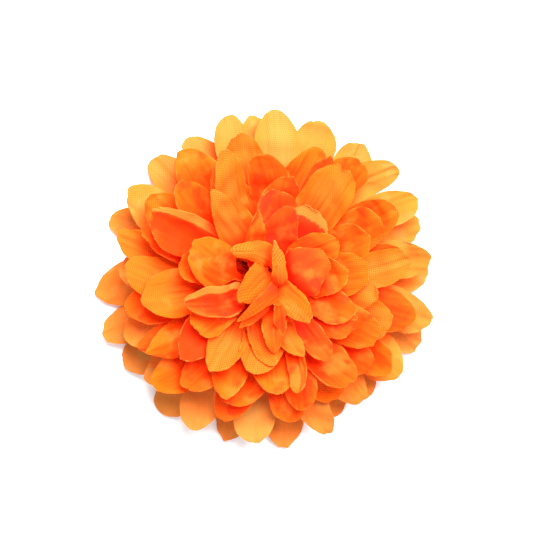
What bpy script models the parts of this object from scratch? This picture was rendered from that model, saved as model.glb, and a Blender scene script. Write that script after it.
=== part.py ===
"""Head of an artificial chrysanthemum: stacked fabric petal rosettes on a plastic pin with a back collar.

The head lies on the flat back of its collar at z = 0, petals up.  Millimetres and degrees below.
"""
import math

import bmesh
import bpy
import numpy as np

MM = 0.001

# Thickness of the cloth, clearance round the pin and over the collar, space between two rosettes, and
# the least play that a petal keeps off the middle of its own.
BLADE = 0.6
GAP = 0.3
LAYER_GAP = 0.5
LEAST_ROOM = 0.02

# Stack of hub discs on the pin.
FIRST_HUB_Z = 4.7
HUB_PITCH = 1.5
HUB_THICKNESS = 1.2
HUB_HOLE_RADIUS = 1.8
HUB_RIM = 0.1
ROOT_SUNK = 1.4
ROOT_COVER = 0.05

# Centre pin and back collar.
PIN_RADIUS = 1.5
PIN_END_Z = 1.3
PIN_SIDES = 24
PIN_HEAD_RADIUS = 2.0
PIN_HEAD_THICKNESS = 1.0
PIN_HEAD_TAPER = 0.1
PIN_HEAD_WALL = 0.6
PIN_HEAD_FLAT_RADIUS = 1.2
PIN_HEAD_CROWN = 0.2
COLLAR_SIDES = 36
COLLAR_RADIUS = 6.4
COLLAR_TOP_Z = FIRST_HUB_Z - HUB_THICKNESS / 2 - GAP
COLLAR_CHAMFER = 0.8
COLLAR_TOP_CHAMFER = 0.4
SOCKET_FLOOR_Z = 1.0

# Which way the heart of the flower leans, and how much of a rosette's lean shows at its hub and at its
# petals' tips.
HEART_AZIMUTH = -60.0
LEAN_AT_HUB = 0.5
LEAN_AT_TIP = 1.5

# Colours of the cloth from the lowest rosette to the heart, and of the plastic.
CLOTH_LOW = (0.95, 0.42, 0.08)
CLOTH_HEART = (0.90, 0.17, 0.035)
PLASTIC = (0.10, 0.22, 0.05)
CLOTH_ROUGHNESS = 0.85
PLASTIC_ROUGHNESS = 0.5

# Each rosette: name, azimuth of the first petal's root, petal length and width, radius where the
# petals bend up from the hub, slope at the root and at the tip, how late the slope changes, lean of
# the heart, and for every petal in turn the azimuth and the reach of its tip.
ROSETTES = [
    ("petal_layer_1", 4.0, 44.5, 13.0, 7.0, 10, -17, 1.0, 0,
     [(3, 49), (19.5, 49.8), (53, 49.5), (71.5, 50.2), (94, 48.5), (118, 48), (133, 49.3), (157, 50),
      (183, 50.1), (197, 50), (212, 49.2), (230, 50.6), (256, 49.2), (275.5, 50.9), (298, 47), (312.6, 47),
      (338.5, 51.0)]),
    ("petal_layer_2", 14.5, 44.0, 13.0, 6.8, 21, -8, 1.0, 0,
     [(7, 48.3), (27.0, 51.0), (41.4, 50.7), (88, 50.8), (102.2, 50.7), (124, 46.3), (147, 49), (176, 44),
      (200, 45), (220, 46), (242, 48.2), (264, 47), (291.5, 49.2), (309, 46.1), (324, 48.4), (348, 49.9)]),
    ("petal_layer_3", 10.0, 42.0, 12.6, 6.5, 32, 0, 1.0, 0,
     [(12.4, 40.8), (30, 43), (54, 44.4), (71, 42.3), (100.5, 44.7), (123, 46.5), (143, 43), (163, 46.7),
      (188, 42.2), (204, 42), (222, 45), (252, 42), (278, 41), (300, 39), (323, 43.7), (345.5, 43.9)]),
    ("petal_layer_4", 5.0, 39.0, 13.6, 6.1, 43, 6, 1.05, 1,
     [(12, 41), (33, 37), (67.4, 41), (95.4, 38.4), (116, 37.6), (131, 40), (153.4, 40.8), (171, 42),
      (208, 41), (230, 38), (248, 36), (286.5, 37), (318, 37.6), (343, 37)]),
    ("petal_layer_5", 0.0, 35.5, 13.6, 5.5, 54, 10, 1.15, 2,
     [(358, 30.6), (33, 32), (60, 40), (82, 32), (111, 42), (148, 40.5), (183.5, 37.0), (219, 32.5),
      (247, 34.5), (272, 31), (312, 36), (334, 34)]),
    ("petal_layer_6", 12.0, 31.5, 13.0, 4.8, 65, 13, 1.3, 3,
     [(12, 28), (65, 26), (88, 28), (120, 33), (165, 28), (203, 25), (234, 29.5), (257, 25), (284, 31),
      (332, 26)]),
    ("petal_layer_7", 22.0, 28.0, 12.0, 3.9, 78, 13, 1.5, 4,
     [(8, 22), (37, 23), (80, 24), (101, 24.5), (151, 27), (187, 25.5), (270, 22), (294, 22), (308, 26),
      (342, 24)]),
    ("petal_layer_8", 25.0, 24.5, 8.0, 2.8, 92, 10, 1.8, 5,
     [(28, 19), (91, 14.5), (141, 15.7), (199, 10.5), (220, 13.8), (228, 14.2), (272, 18), (282, 13.8),
      (321, 14.1)]),
]

# Spans from which a petal's own figures are drawn: its level between the rosettes; how far it rolls
# over to one side; cup, tip curl, buckles along it, waves of the edges and sway of the tip in
# millimetres; phase of the waves; share of the rosette's width; where it is widest, and how much that
# differs between its sides; shape of its end; share of the room that it may fill.
DRAWN = {
    "level": (-0.1, 0.1),
    "roll": (0, 26),
    "cup": (-1.4, 2.6),
    "curl": (-2.6, 2.6),
    "buckle": (-0.9, 0.9),
    "wave": (0.2, 0.9),
    "phase": (0, 2 * math.pi),
    "sway": (-1.5, 1.5),
    "width": (0.84, 1.1),
    "widest": (0.64, 0.80),
    "skew": (-0.09, 0.09),
    "blunt": (2.1, 3.8),
    "point": (0, 0.5),
    "hold": (0.84, 1.0),
}

# The heart's petals have a spine each: they rise from the hub's edge in a tight bundle, cross over its
# top and bend out to their own sides, led by three guides, the last of which is the tip.
HEART_SPINES = [
    ((2.2, 0.8, 31), (3.0, 4.0, 46), (16.3, 9.0, 36.5)),
    ((0.8, 2.0, 31), (3.4, -4.5, 46), (-0.3, 14.5, 41)),
    ((-0.5, 4.0, 28), (5.5, 13.0, 42), (-12.3, 11.2, 37)),
    ((-1.5, 3.0, 29), (3.0, 11.5, 43), (-10.0, -3.2, 36)),
    ((-0.5, -0.3, 32), (7.5, 5.8, 46), (-10.5, -8.9, 36)),
    ((0.0, -1.5, 31), (2.0, -1.0, 41), (-9.8, -10.8, 34)),
    ((0.8, -1.5, 30), (-0.2, -6.0, 40.5), (0.6, -18.0, 33.5)),
    ((1.5, -1.0, 31), (1.0, -1.0, 46.5), (2.4, -13.2, 37)),
    ((2.0, -0.3, 31), (-3.5, 5.0, 46), (11.0, -8.9, 36.5)),
]

# Petals set differently from their neighbours, by rosette and place, both from 1: how far they roll
# over to one side, fold shut along the middle, cup and curl at the tip, how wide and pointed they are,
# the level they lie at, and up to where they stay narrow.
SPECIAL = {
    (8, 1): dict(cup=-3.0, wide=1.75, skew=0.0, wave=0.1, claw=0.15),
    (8, 2): dict(cup=-0.8, wide=0.58, point=0.8, claw=0.2),
    (8, 3): dict(cup=-0.8, roll=-18, wide=0.8, claw=0.3),
    (8, 4): dict(cup=-1.0, roll=-6, wide=1.05, claw=0.25),
    (8, 5): dict(cup=-0.5, roll=-8, wide=0.72, point=0.6, claw=0.15),
    (8, 6): dict(cup=-0.5, roll=-8, wide=0.6, point=0.6),
    (8, 7): dict(cup=-0.8, roll=6),
    (8, 8): dict(cup=-0.5, roll=4, wide=0.48, claw=0.2),
    (8, 9): dict(cup=-1.0, claw=0.15),
    (7, 2): dict(roll=20, cup=1.0, wide=0.95, sway=0.0, level=5.85, claw=0.45),
    (7, 3): dict(roll=0, cup=1.0, wide=1.05, sway=0.0, level=5.8, widest=0.68, skew=-0.05, blunt=3.8),
    (7, 4): dict(fold=10, roll=10, wide=0.55, sway=0.0, level=6.3),
    (7, 5): dict(cup=-1.0, roll=4, sway=0.0, point=0.1, claw=0.5, wide=1.05),
    (7, 6): dict(cup=3.6, roll=-18, wide=0.95, sway=0.0),
    (7, 7): dict(roll=4, cup=-0.8, wide=0.75, sway=0.0),
    (7, 8): dict(roll=4, cup=-0.8, wide=0.62, sway=0.0, level=6.2),
    (7, 9): dict(roll=10, cup=-0.8, wide=0.75, sway=0.0, level=5.8),
    (7, 10): dict(roll=0, cup=-1.4, wide=1.05),
    (6, 2): dict(curl=4.0, cup=1.0, roll=0, wide=0.95),
    (6, 4): dict(cup=-0.8, roll=4, wide=0.84, sway=1.0, point=0.6, widest=0.62),
    (6, 5): dict(cup=1.2, roll=18, wide=0.95),
    (6, 7): dict(cup=2.0, roll=4, wide=0.86, blunt=2.6, sway=-1.0),
    (6, 9): dict(fold=30, wide=0.5, sway=0.0),
    (5, 3): dict(roll=6, cup=1.0, blunt=3.0),
    (5, 5): dict(roll=16, cup=1.4, wide=0.9),
    (5, 6): dict(roll=-16, cup=3.0, curl=0.5),
    (5, 7): dict(roll=4, cup=1.0, wide=1.05),
    (5, 9): dict(roll=22, cup=-1.0),
    (5, 11): dict(roll=4, cup=-0.8, wide=0.85),
    (4, 1): dict(roll=6, cup=0.8, wide=0.9, point=0.1),
    (4, 3): dict(point=0.8),
    (4, 7): dict(fold=26, roll=22),
    (4, 9): dict(fold=-40, roll=6, cup=-0.5, point=0.7, level=3.3),
    (4, 12): dict(roll=28, cup=-1.0),
    (3, 11): dict(roll=6, cup=1.2, wide=1.05, point=0.1),
    (3, 13): dict(roll=-8, cup=2.2, curl=-2.0),
    (2, 2): dict(wide=0.82, point=0.3),
    (2, 3): dict(wide=0.95, point=0.3, blunt=3.6),
    (2, 5): dict(wide=1.08, point=0.1),
    (2, 13): dict(wide=1.0, point=0.1),
    (1, 3): dict(wide=1.1, point=0.1),
    (1, 4): dict(wide=1.15, point=0.0),
    (1, 9): dict(roll=4, wide=1.05, point=0.0, blunt=3.0),
}

# Past the reach of the rosette above, a petal is free to rise: the margin past the tips above it and
# beside them, how fast the room grows, and how steeply that reach falls off beside a petal.
OPEN_MARGIN = 1.5
OPEN_BESIDE = 1.0
OPEN_RISE = 1.0
OPEN_SIDE = 2.0

# Shape of every petal, in parts of its length: up to where the petals of each rosette stay narrow, where
# the roll and folds are full, where a petal has come to its own level and where the tip's curl begins.
# SWELL is how slowly a petal widens.
CLAWS = (0.0, 0.0, 0.05, 0.1, 0.15, 0.2, 0.28, 0.38)
SWELL = 1.05
FULL_AT = 0.55
OWN_LEVEL_AT = 0.4
CURL_FROM = 0.5

# Share of the hub's edge that the roots take, how far tips may be off the rosette's own level, and how
# much longer or shorter a petal may be than its rosette's.
ROOTS_SHARE = 0.84
LEVELS_APART = 0.3
LEVEL_FOLLOWED = 0.6
LENGTHS_APART = 0.25

# Waves along a petal's edges and finer ripples, in radians per length, and the ripples' depth.
WAVES = 9
RIPPLES = 13
RIPPLE_DEPTH = 0.35

# Petals ease to a stop this high above the plane of rest, beginning this far above it.
FLOOR_Z = BLADE / 2 + 0.4
FLOOR_EASE = 2.0

# Mesh of one petal.
PETAL_ROWS = (0.0, 0.25, 0.52, 0.78, 0.93, 0.99)
PETAL_COLUMNS = 5
KEPT_TRIANGLES = 0.98

# Edges sharper than this, in degrees, stay crisp when a body is shaded smooth.
CRISP_EDGE = 35.0

SEED = 31


def ladder(column, level):
    """A rosette's figure at any level between the rosettes, counted from 0 and run on past the ends."""
    values = np.array([float(r[column]) for r in ROSETTES])
    last = len(values) - 1
    level = np.asarray(level, float)
    middle = np.interp(level, np.arange(last + 1), values)
    above = np.clip(level - last, 0, None) * (values[-1] - values[-2])
    below = np.clip(level, None, 0) * (values[1] - values[0])
    return middle + above + below


STEPS, STEP_WEIGHTS = np.polynomial.legendre.leggauss(8)


def shell(level, along, azimuth):
    """Radius, height and slope of the domed shell at this level, so far along from the hub."""
    level, along, azimuth = np.broadcast_arrays(level, along, azimuth)
    lean = np.radians(ladder(8, level)) * np.cos(azimuth - math.radians(HEART_AZIMUTH))
    slope_0 = np.radians(ladder(5, level)) - lean * LEAN_AT_HUB
    slope_1 = np.radians(ladder(6, level)) - lean * LEAN_AT_TIP
    length, late = ladder(2, level), ladder(7, level)
    past_hub = np.maximum(along, 0)
    radius = ladder(4, level) + np.minimum(along, 0) * np.cos(slope_0)
    height = FIRST_HUB_Z + HUB_PITCH * level + np.minimum(along, 0) * np.sin(slope_0)
    for step, weight in zip(STEPS, STEP_WEIGHTS):
        slope = slope_0 + (slope_1 - slope_0) * (past_hub * (step + 1) / 2 / length) ** late
        radius = radius + weight / 2 * past_hub * np.cos(slope)
        height = height + weight / 2 * past_hub * np.sin(slope)
    return radius, height, slope_0 + (slope_1 - slope_0) * (past_hub / length) ** late


def room(level, other, along, azimuth):
    """Distance between two shells, square to the first."""
    r0, z0, slope = shell(level, along, azimuth)
    r1, z1, _ = shell(other, along, azimuth)
    return np.abs((z1 - z0) * np.cos(slope) - (r1 - r0) * np.sin(slope))


def held(offset, up, down):
    """Keep an offset inside the room above and below its shell, easing into the limit."""
    limit = np.maximum(np.where(offset > 0, up, down), LEAST_ROOM)
    return limit * np.tanh(offset / limit)


def cover(k, azimuth):
    """How far out the next rosette's petals lie over this azimuth."""
    if k == len(ROSETTES) - 1:
        return np.zeros_like(azimuth)
    width, tips = ROSETTES[k + 1][3], ROSETTES[k + 1][9]
    reached = np.zeros_like(azimuth)
    for tip_azimuth, reach in tips:
        aside = np.abs((azimuth - math.radians(tip_azimuth) + math.pi) % (2 * math.pi) - math.pi) * reach
        reached = np.maximum(reached, reach - OPEN_SIDE * np.maximum(aside - width / 2 - OPEN_BESIDE, 0))
    return reached


def spine_points(k, pose, t):
    """Points, and forward, side and face directions, along a petal's own spine: a cubic curve."""
    root = math.radians(pose["root"])
    hub = ROSETTES[k][4]
    start = (hub * math.cos(root), hub * math.sin(root), FIRST_HUB_Z + HUB_PITCH * k)
    guides = np.array([start, *pose["spine"]])
    t = t[..., None]
    weights = ((1 - t) ** 3, 3 * (1 - t) ** 2 * t, 3 * (1 - t) * t ** 2, t ** 3)
    points = sum(weight * guide for weight, guide in zip(weights, guides))
    steps = np.diff(guides, axis=0)
    weights = ((1 - t) ** 2, 2 * (1 - t) * t, t ** 2)
    ahead = sum(weight * step for weight, step in zip(weights, steps))
    ahead = ahead / np.linalg.norm(ahead, axis=-1, keepdims=True)
    heading = math.atan2(steps[2][1], steps[2][0])
    turn = (heading - root + math.pi) % (2 * math.pi) - math.pi
    facing = root + turn * np.clip(t / FULL_AT, 0, 1)
    side = np.concatenate([-np.sin(facing), np.cos(facing), np.zeros_like(facing)], -1)
    side = side - ahead * np.sum(side * ahead, -1, keepdims=True)
    side = side / np.linalg.norm(side, axis=-1, keepdims=True)
    return points, ahead, side, np.cross(ahead, side)


def half_width(part, columns, pose):
    """Half the petal's width: a claw that opens out to the widest place, then a rounded or pointed end."""
    claw = pose["claw"]
    widest = pose["widest"] + pose["skew"] * np.sign(columns)
    swell = np.sin(np.clip((part - claw) / (widest - claw), 0, 1) * math.pi / 2) ** SWELL
    end = np.clip((part - widest) / (1 - widest), 0, 1)
    rounded = (1 - end ** pose["blunt"]) ** 0.5
    pointed = np.cos(end * math.pi / 2) ** 0.9
    sides = pose["root_half"] + (pose["half"] - pose["root_half"]) * swell
    return sides * ((1 - pose["point"]) * rounded + pose["point"] * pointed)


def petal_pose(k, i, draws):
    """The figures of one petal: its level, length, swing, roll, cup, fold, curl, waves and outline."""
    _, first, length, width, hub, _, _, _, _, tips = ROSETTES[k]
    tip_azimuth, reach = tips[i]
    root_azimuth = first + 360.0 * i / len(tips)
    azimuth = math.radians(tip_azimuth)
    pose = {figure: draws.uniform(*span) for figure, span in DRAWN.items()}
    levels = np.linspace(-LEVELS_APART, LEVELS_APART, 61)
    reached = shell(k + levels, length, azimuth)[0]
    level = k + LEVEL_FOLLOWED * levels[np.argmin(np.abs(reached - reach))] + pose["level"]
    lengths = np.linspace(1 - LENGTHS_APART, 1 + LENGTHS_APART, 101) * length
    reached = shell(level, lengths, azimuth)[0]
    special = dict(SPECIAL.get((k + 1, i + 1), {}))
    pose.update(
        level=level,
        length=lengths[np.argmin(np.abs(reached - reach))],
        root=root_azimuth,
        swing=(tip_azimuth - root_azimuth + 180) % 360 - 180,
        root_half=ROOTS_SHARE * math.pi * hub / len(tips),
        half=width / 2 * pose["width"] * special.pop("wide", 1.0),
        fold=0.0,
        claw=CLAWS[k],
    )
    if k == len(ROSETTES) - 1:
        pose.update(spine=HEART_SPINES[i], roll=0.0, curl=0.0, sway=0.0)
    pose.update(special)
    return pose


def root_depth(k):
    """How far a petal's root runs on inside its hub disc."""
    slope = math.radians(ROSETTES[k][5])
    return min(ROOT_SUNK, (HUB_THICKNESS / 2 - ROOT_COVER - BLADE / 2 * math.cos(slope)) / math.sin(slope))


def petal_surface(k, pose, part, across):
    """Points of the middle of one petal's cloth on rows from root to tip and columns side to side."""
    rows, columns = np.meshgrid(part, across, indexing="ij")
    sunk = root_depth(k)
    along = -sunk + (pose["length"] + sunk) * rows
    t = np.clip(along / pose["length"], 0, 1)
    x = columns * half_width(t, columns, pose)
    azimuth = np.radians(pose["root"] + pose["swing"] * t ** 1.5)
    level = k + (pose["level"] - k) * np.clip(t / OWN_LEVEL_AT, 0, 1)
    grown = np.clip(t / FULL_AT, 0, 1) ** 1.3
    side = x / pose["half"]
    fold = math.radians(pose["fold"]) * grown
    roll = math.radians(pose["roll"]) * grown
    offset = np.abs(x) * np.sin(fold)
    x = x * np.cos(fold)
    offset, x = offset * np.cos(roll) + x * np.sin(roll), x * np.cos(roll) - offset * np.sin(roll)
    offset = offset + pose["cup"] * side ** 2 * grown
    offset = offset + pose["curl"] * np.clip((t - CURL_FROM) / (1 - CURL_FROM), 0, 1) ** 2
    offset = offset + pose["buckle"] * np.sin(WAVES * t + 2 * pose["phase"]) * grown
    offset = offset + pose["wave"] * np.sin(WAVES * t + pose["phase"]) * side * grown
    offset = offset + RIPPLE_DEPTH * np.sin(RIPPLES * t + 2 * pose["phase"]) * side ** 2 * grown
    x = x + pose["sway"] * t ** 2
    if "spine" in pose:
        points, ahead, beside, face = spine_points(k, pose, t)
        points = points + ahead * np.minimum(along, 0)[..., None]
        return points + beside * x[..., None] + face * offset[..., None]
    radius, height, slope = shell(level, along, azimuth)
    above = room(level, k + 0.5, along, azimuth) - (BLADE + LAYER_GAP) / 2
    above = above + OPEN_RISE * np.maximum(radius - cover(k, azimuth) - OPEN_MARGIN, 0)
    below = room(level, k - 0.5, along, azimuth) - (BLADE + LAYER_GAP) / 2
    offset = held(offset, above * pose["hold"], below * pose["hold"])
    radius = radius - offset * np.sin(slope)
    height = height + offset * np.cos(slope)
    eased = FLOOR_Z + FLOOR_EASE * np.exp((height - FLOOR_Z) / FLOOR_EASE - 1)
    height = np.where(height > FLOOR_Z + FLOOR_EASE, height, eased)
    azimuth = azimuth + x / np.maximum(radius, 1.0)
    return np.stack([radius * np.cos(azimuth), radius * np.sin(azimuth), height], -1)


def grid_normals(points):
    """Unit normals of a grid of points, petals' upper side up."""
    down_rows = np.gradient(points, axis=0)
    along_columns = np.gradient(points, axis=1)
    normal = np.cross(down_rows, along_columns)
    return normal / np.maximum(np.linalg.norm(normal, axis=-1, keepdims=True), 1e-9)


def add_mesh(name, vertices, faces, material, collection=None):
    """A mesh object from millimetre points, in the scene or in a collection of its own."""
    mesh = bpy.data.meshes.new(name)
    mesh.from_pydata((np.asarray(vertices) * MM).tolist(), [], [list(map(int, f)) for f in faces])
    mesh.validate()
    mesh.materials.append(material)
    body = bpy.data.objects.new(name, mesh)
    (collection or bpy.context.scene.collection).objects.link(body)
    return body


def shade_round(body):
    """Shade a body smooth up to its crisp edges."""
    body.data.shade_smooth()
    body.data.set_sharp_from_angle(angle=math.radians(CRISP_EDGE))


def stitch(low, high):
    """Triangles between two rows of points that may differ in number."""
    faces = []
    m, n = 0, 0
    while m < len(low) - 1 or n < len(high) - 1:
        next_low = (m + 1) / (len(low) - 1) if m < len(low) - 1 else 9
        next_high = (n + 1) / (len(high) - 1) if n < len(high) - 1 else 9
        if next_high < next_low or (next_high == next_low and m < n + len(low) - len(high)):
            faces.append((low[m], high[n], high[n + 1]))
            n += 1
        else:
            faces.append((low[m], high[n], low[m + 1]))
            m += 1
    return faces


def add_petal(name, k, pose, material, collection):
    """One petal as a closed blade, both faces cut into triangles alike."""
    part = np.array(PETAL_ROWS)
    across = np.linspace(-1, 1, PETAL_COLUMNS)
    middle = petal_surface(k, pose, part, across)
    normal = grid_normals(middle)
    kept = [[0, PETAL_COLUMNS - 1]] + [list(range(PETAL_COLUMNS))] * (len(part) - 2)
    kept.append([0, PETAL_COLUMNS // 2, PETAL_COLUMNS - 1])
    points, sides, rows = [], [], []
    for r, columns in enumerate(kept):
        rows.append([len(points) + c for c in range(len(columns))])
        points.extend(middle[r, c] for c in columns)
        sides.extend(normal[r, c] for c in columns)
    points, sides = np.array(points), np.array(sides)
    count = len(points)
    faces = []
    for low, high in zip(rows[:-1], rows[1:]):
        for face in stitch(low, high):
            faces.append(face)
            faces.append(tuple(v + count for v in face[::-1]))
    rim = rows[0] + [row[-1] for row in rows[1:-1]] + rows[-1][::-1] + [row[0] for row in rows[-2:0:-1]]
    for v, w in zip(rim, rim[1:] + rim[:1]):
        faces.append((v, w, w + count))
        faces.append((v, w + count, v + count))
    skins = np.concatenate([points + sides * BLADE / 2, points - sides * BLADE / 2])
    return add_mesh(name, skins, faces, material, collection)


def turned(name, profile, sides, material):
    """A body turned about the pin's axis from points of (radius, z), with this many sides."""
    vertices = []
    faces = []
    rings = []
    for radius, z in profile:
        if radius == 0:
            rings.append([len(vertices)] * sides)
            vertices.append((0.0, 0.0, z))
            continue
        rings.append([len(vertices) + j for j in range(sides)])
        for j in range(sides):
            turn = 2 * math.pi * j / sides
            vertices.append((radius * math.cos(turn), radius * math.sin(turn), z))
    for n in range(len(profile) - 1):
        low, high = rings[n], rings[n + 1]
        for j in range(sides):
            m = (j + 1) % sides
            corners = []
            for corner in (low[j], low[m], high[m], high[j]):
                if corner not in corners:
                    corners.append(corner)
            faces.append(corners)
    body = add_mesh(name, vertices, faces, material)
    shade_round(body)
    return body


def hub_disc(name, k, material):
    """The cloth disc of one rosette: as many straight sides as petals, and a round hole for the pin."""
    _, first, _, _, hub, slope, _, _, _, tips = ROSETTES[k]
    z = FIRST_HUB_Z + HUB_PITCH * k
    sides = len(tips)
    across_flats = hub + HUB_RIM + (BLADE / 2 + ROOT_COVER) * math.sin(math.radians(slope))
    outer = across_flats / math.cos(math.pi / sides)
    hole_sides = 2 * sides
    vertices = []
    for height in (z - HUB_THICKNESS / 2, z + HUB_THICKNESS / 2):
        for j in range(hole_sides):
            turn = math.radians(first) + 2 * math.pi * (j / hole_sides)
            vertices.append((HUB_HOLE_RADIUS * math.cos(turn), HUB_HOLE_RADIUS * math.sin(turn), height))
        for j in range(sides):
            turn = math.radians(first) + 2 * math.pi * ((j + 0.5) / sides)
            vertices.append((outer * math.cos(turn), outer * math.sin(turn), height))
    ring = hole_sides + sides
    faces = []
    for j in range(sides):
        m = (j + 1) % sides
        # Triangles of the flat ring: two hole edges beside each outer corner, one between the corners.
        h0, h1, h2 = 2 * j, 2 * j + 1, (2 * j + 2) % hole_sides
        corner, following = hole_sides + j, hole_sides + m
        top = [(h0, corner, h1), (h1, corner, h2), (h2, corner, following)]
        for face in top:
            faces.append(tuple(v + ring for v in face))
            faces.append(face[::-1])
        faces.append((corner, following, following + ring, corner + ring))
    for j in range(hole_sides):
        m = (j + 1) % hole_sides
        faces.append((m, j, j + ring, m + ring))
    return add_mesh(name, vertices, faces, material)


def plain(name, colour, roughness):
    """A plain material."""
    material = bpy.data.materials.new(name)
    material.use_nodes = True
    shader = material.node_tree.nodes["Principled BSDF"]
    shader.inputs["Base Color"].default_value = (*colour, 1.0)
    shader.inputs["Roughness"].default_value = roughness
    return material


def fill_voids(body):
    """Keep the one outer skin of a body: closed pockets between crossing petals become solid."""
    shape = bmesh.new()
    shape.from_mesh(body.data)
    shape.verts.ensure_lookup_table()
    left = set(shape.verts)
    islands = []
    while left:
        island, edge = set(), [left.pop()]
        while edge:
            vertex = edge.pop()
            island.add(vertex)
            for link in vertex.link_edges:
                other = link.other_vert(vertex)
                if other in left:
                    left.discard(other)
                    edge.append(other)
        islands.append(island)
    islands.sort(key=len)
    for island in islands[:-1]:
        bmesh.ops.delete(shape, geom=list(island), context="VERTS")
    shape.to_mesh(body.data)
    shape.free()


def build_rosette(k, draws, cloth):
    """Hub disc and petals of one rosette, joined into one solid."""
    name, tips = ROSETTES[k][0], ROSETTES[k][9]
    disc = hub_disc(name, k, cloth)
    petals = bpy.data.collections.new(name + "_petals")
    bpy.context.scene.collection.children.link(petals)
    for i in range(len(tips)):
        add_petal(f"{name}_petal_{i + 1}", k, petal_pose(k, i, draws), cloth, petals)
    joined = disc.modifiers.new("join", "BOOLEAN")
    joined.operation = "UNION"
    joined.operand_type = "COLLECTION"
    joined.collection = petals
    joined.solver = "MANIFOLD"
    bpy.context.view_layer.objects.active = disc
    bpy.ops.object.modifier_apply(modifier="join")
    for petal in list(petals.objects):
        bpy.data.objects.remove(petal, do_unlink=True)
    bpy.data.collections.remove(petals)
    fill_voids(disc)
    # Thin out the slivers left along the joins.
    lighter = disc.modifiers.new("lighter", "DECIMATE")
    lighter.ratio = KEPT_TRIANGLES
    lighter.use_collapse_triangulate = True
    bpy.ops.object.modifier_apply(modifier="lighter")
    shade_round(disc)
    return disc


def build():
    for body in list(bpy.data.objects):
        bpy.data.objects.remove(body, do_unlink=True)
    draws = np.random.default_rng(SEED)
    for k in range(len(ROSETTES)):
        share = k / (len(ROSETTES) - 1)
        colour = tuple(a + (b - a) * share for a, b in zip(CLOTH_LOW, CLOTH_HEART))
        build_rosette(k, draws, plain(f"cloth_{k + 1}", colour, CLOTH_ROUGHNESS))
    plastic = plain("green_plastic", PLASTIC, PLASTIC_ROUGHNESS)
    top = FIRST_HUB_Z + HUB_PITCH * (len(ROSETTES) - 1) + HUB_THICKNESS / 2 + GAP
    turned("centre_pin", [
        (0, PIN_END_Z), (PIN_RADIUS, PIN_END_Z), (PIN_RADIUS, top), (PIN_HEAD_RADIUS, top),
        (PIN_HEAD_RADIUS - PIN_HEAD_TAPER, top + PIN_HEAD_WALL),
        (PIN_HEAD_FLAT_RADIUS, top + PIN_HEAD_THICKNESS),
        (0, top + PIN_HEAD_THICKNESS + PIN_HEAD_CROWN)], PIN_SIDES, plastic)
    turned("back_collar", [
        (0, 0), (COLLAR_RADIUS - COLLAR_CHAMFER, 0), (COLLAR_RADIUS, COLLAR_CHAMFER),
        (COLLAR_RADIUS, COLLAR_TOP_Z - COLLAR_TOP_CHAMFER),
        (COLLAR_RADIUS - COLLAR_TOP_CHAMFER, COLLAR_TOP_Z), (HUB_HOLE_RADIUS, COLLAR_TOP_Z),
        (HUB_HOLE_RADIUS, SOCKET_FLOOR_Z), (0, SOCKET_FLOOR_Z)], COLLAR_SIDES, plastic)


build()
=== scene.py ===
"""Head of an artificial chrysanthemum: eight die-cut cloth rosettes on a plastic pin over a back collar.

Shapes are worked out with numpy in millimetres and go into the meshes in metres.
"""
import math

import bpy
import numpy as np
from mathutils import Matrix, Vector


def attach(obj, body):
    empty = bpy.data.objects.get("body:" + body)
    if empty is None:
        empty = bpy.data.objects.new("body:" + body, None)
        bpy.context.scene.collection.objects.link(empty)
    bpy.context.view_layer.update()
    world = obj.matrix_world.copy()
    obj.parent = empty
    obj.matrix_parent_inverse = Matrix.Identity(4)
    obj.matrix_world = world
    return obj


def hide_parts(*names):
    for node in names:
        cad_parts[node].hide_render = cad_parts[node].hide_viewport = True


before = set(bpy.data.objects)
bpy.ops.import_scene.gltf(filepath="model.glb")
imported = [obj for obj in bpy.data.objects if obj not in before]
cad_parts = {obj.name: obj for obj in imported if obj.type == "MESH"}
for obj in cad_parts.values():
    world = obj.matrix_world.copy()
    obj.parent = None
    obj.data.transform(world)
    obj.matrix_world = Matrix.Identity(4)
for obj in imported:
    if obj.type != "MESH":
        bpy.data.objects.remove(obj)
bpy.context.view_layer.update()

# The camera looks straight down on the head from 0.62 m, leaning a few degrees towards its near left side,
# and the head lies a little below the middle of the picture.
CAMERA_DISTANCE = 0.62
CAMERA_LEAN_X = -4.0
CAMERA_LEAN_Y = 5.0
CAMERA_TARGET = Vector((0.0003, 0.0039, 0.003))
PICTURE_WIDTH = 0.1586
SENSOR_WIDTH = 36.0

sight = Vector((
    math.sin(math.radians(CAMERA_LEAN_X)), math.sin(math.radians(CAMERA_LEAN_Y)), 1)).normalized()
right = Vector((0, 1, 0)).cross(sight).normalized()
camera = bpy.data.objects.new("camera", bpy.data.cameras.new("camera"))
camera.data.sensor_width = SENSOR_WIDTH
camera.data.lens = SENSOR_WIDTH * CAMERA_DISTANCE / PICTURE_WIDTH
camera.location = CAMERA_TARGET + sight * CAMERA_DISTANCE
camera.rotation_mode = "QUATERNION"
camera.rotation_quaternion = Matrix((right, sight.cross(right), sight)).transposed().to_quaternion()
bpy.context.scene.collection.objects.link(camera)
bpy.context.scene.camera = camera

# The floor is a plain pale board just under the head.  A broad soft lamp stands high behind the head, and a
# white surround lights it from all sides.
FLOOR_HALF = 1.5
FLOOR_DROP = 0.0003
FLOOR_TONE = (0.93, 0.93, 0.93)
FLOOR_ROUGHNESS = 0.9
LAMP_PLACE = Vector((0.16, 0.52, 0.90))
LAMP_SIZE = 0.6
LAMP_POWER = 42.0
SURROUND_STRENGTH = 1.08


def set_inputs(node, values):
    """Resting values of a node's sockets, by their names or places."""
    for socket, value in values.items():
        node.inputs[socket].default_value = value


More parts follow.
